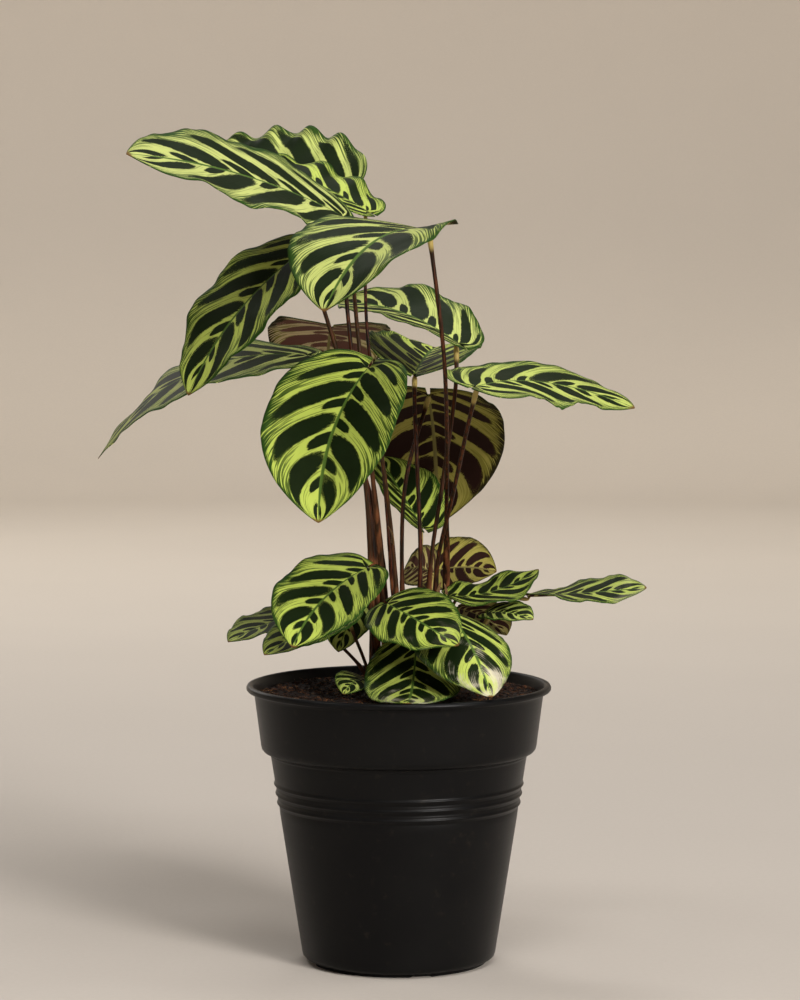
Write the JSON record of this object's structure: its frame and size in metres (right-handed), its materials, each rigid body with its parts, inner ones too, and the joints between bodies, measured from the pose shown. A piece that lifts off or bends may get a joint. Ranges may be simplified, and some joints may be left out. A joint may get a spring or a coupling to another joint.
{
  "type": "potted peacock plant",
  "caption": "Young peacock plant with waved oval leaves on thin upright stalks, in a round banded pot filled with soil.",
  "frame": {"origin": "centre of the pot's flat underside, on the surface that the pot stands on", "axes": "+Z is the pot's axis, pointing up; the picture looks along +Y, and +X is to the picture's right"},
  "size_m": [0.3485, 0.3558, 0.5264],
  "materials": {
    "pot": "smooth moulded, soft sheen",
    "soil": "loose damp peat with bark crumbs",
    "stalk": "smooth living stalk, rough sheath at its foot",
    "blade": "waxy, banded yellow-green and dark green above, purple below"
  },
  "bodies": {
    "root": {"leaf_centre": "blade", "leaf_high_left": "blade", "leaf_high_right": "blade", "leaf_low_back_right": "blade", "leaf_low_far_right": "blade", "leaf_low_front": "blade", "leaf_low_front_left": "blade", "leaf_low_front_right": "blade", "leaf_low_hanging": "blade", "leaf_low_inner": "blade", "leaf_low_left": "blade", "leaf_low_left_inner": "blade", "leaf_low_middle": "blade", "leaf_low_right": "blade", "leaf_low_right_inner": "blade", "leaf_low_right_small": "blade", "leaf_mid_back": "blade", "leaf_mid_front": "blade", "leaf_mid_left": "blade", "leaf_mid_right": "blade", "leaf_rear": "blade", "leaf_rear_left": "blade", "leaf_soil_left": "blade", "leaf_top_back": "blade", "leaf_top_front": "blade", "leaf_top_inner": "blade", "leaf_top_left": "blade", "pot": "pot", "shoot_back": "stalk", "shoot_back_left": "stalk", "shoot_back_right": "stalk", "shoot_front": "stalk", "shoot_left": "stalk", "shoot_middle": "stalk", "shoot_right": "stalk", "soil": "soil"}
  },
  "joints": []
}
